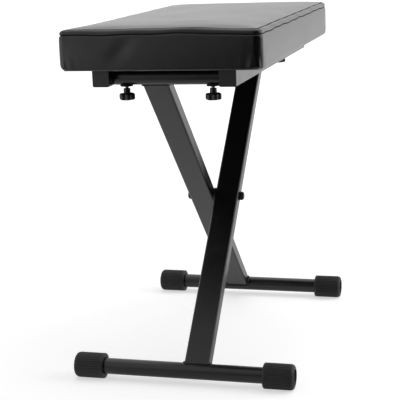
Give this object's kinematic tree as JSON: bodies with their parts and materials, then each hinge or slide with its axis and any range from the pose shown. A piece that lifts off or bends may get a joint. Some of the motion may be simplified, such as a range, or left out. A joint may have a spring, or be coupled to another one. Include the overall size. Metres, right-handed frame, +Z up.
{
  "type": "folding keyboard bench",
  "caption": "Folding bench with an oblong padded seat on crossed steel legs joined by a bolt, with tubular feet in ribbed rubber caps and hand knobs under the seat.",
  "frame": {"origin": "on the floor, under the middle of the seat", "axes": "+X along the seat's length towards the far end, +Y across to the left, +Z up"},
  "size_m": [0.564, 0.352, 0.553],
  "materials": {
    "vinyl": "soft grained black vinyl",
    "foam": "open cell foam",
    "plywood": "plain plywood",
    "dust_cloth": "thin black non-woven cloth",
    "black_steel": "satin black powder coat",
    "zinc_steel": "bright zinc plate",
    "black_fastener": "black oxide",
    "nylon": "black nylon",
    "black_plastic": "moulded black plastic",
    "rubber": "matt black rubber"
  },
  "bodies": {
    "right_leg_frame": {"right_leg": "black_steel", "right_leg_bush": "zinc_steel", "near_foot_tube": "black_steel", "near_left_foot_cap": "rubber", "near_right_foot_cap": "rubber", "far_crossbar": "black_steel", "far_crossbar_plugs": "black_plastic", "pivot_bolt": "black_fastener", "pivot_nut": "black_fastener", "pivot_washers": "black_fastener", "pivot_spacer": "nylon"},
    "left_leg_frame": {"left_leg": "black_steel", "left_leg_bush": "zinc_steel", "far_foot_tube": "black_steel", "far_left_foot_cap": "rubber", "far_right_foot_cap": "rubber", "near_crossbar": "black_steel", "near_crossbar_plugs": "black_plastic", "near_left_saddle": "black_fastener", "near_right_saddle": "black_fastener"},
    "seat": {"seat_cover": "vinyl", "seat_foam": "foam", "seat_board": "plywood", "dust_cloth": "dust_cloth", "seat_nuts": "zinc_steel", "left_rail": "black_steel", "right_rail": "black_steel", "rail_end_plugs": "black_plastic", "rail_screws": "black_fastener", "far_left_saddle": "black_fastener", "far_right_saddle": "black_fastener"},
    "near_left_knob": {"near_left_knob": "black_plastic", "near_left_stud": "zinc_steel"},
    "near_right_knob": {"near_right_knob": "black_plastic", "near_right_stud": "zinc_steel"},
    "far_left_knob": {"far_left_knob": "black_plastic", "far_left_stud": "zinc_steel"},
    "far_right_knob": {"far_right_knob": "black_plastic", "far_right_stud": "zinc_steel"}
  },
  "joints": [
    {"name": "x_pivot", "type": "hinge", "parent": "right_leg_frame", "child": "left_leg_frame", "pos_m": [0.008, 0, 0.24586], "axis": [0, -1, 0], "range_deg": [-10, 78]},
    {"name": "seat_tip", "type": "hinge", "parent": "right_leg_frame", "child": "seat", "pos_m": [0.249, 0, 0.479], "axis": [0, -1, 0], "range_deg": [-5, 39]},
    {"name": "near_left_knob_turn", "type": "hinge", "parent": "left_leg_frame", "child": "near_left_knob", "pos_m": [-0.233, 0.066, 0.452], "axis": [0, 0, 1], "continuous": true},
    {"name": "near_right_knob_turn", "type": "hinge", "parent": "left_leg_frame", "child": "near_right_knob", "pos_m": [-0.233, -0.066, 0.452], "axis": [0, 0, 1], "continuous": true},
    {"name": "far_left_knob_turn", "type": "hinge", "parent": "seat", "child": "far_left_knob", "pos_m": [0.249, 0.066, 0.452], "axis": [0, 0, 1], "continuous": true},
    {"name": "far_right_knob_turn", "type": "hinge", "parent": "seat", "child": "far_right_knob", "pos_m": [0.249, -0.066, 0.452], "axis": [0, 0, 1], "continuous": true}
  ],
  "couplings": [
    {"joint": "seat_tip", "follows": "x_pivot", "ratio": 0.5}
  ]
}
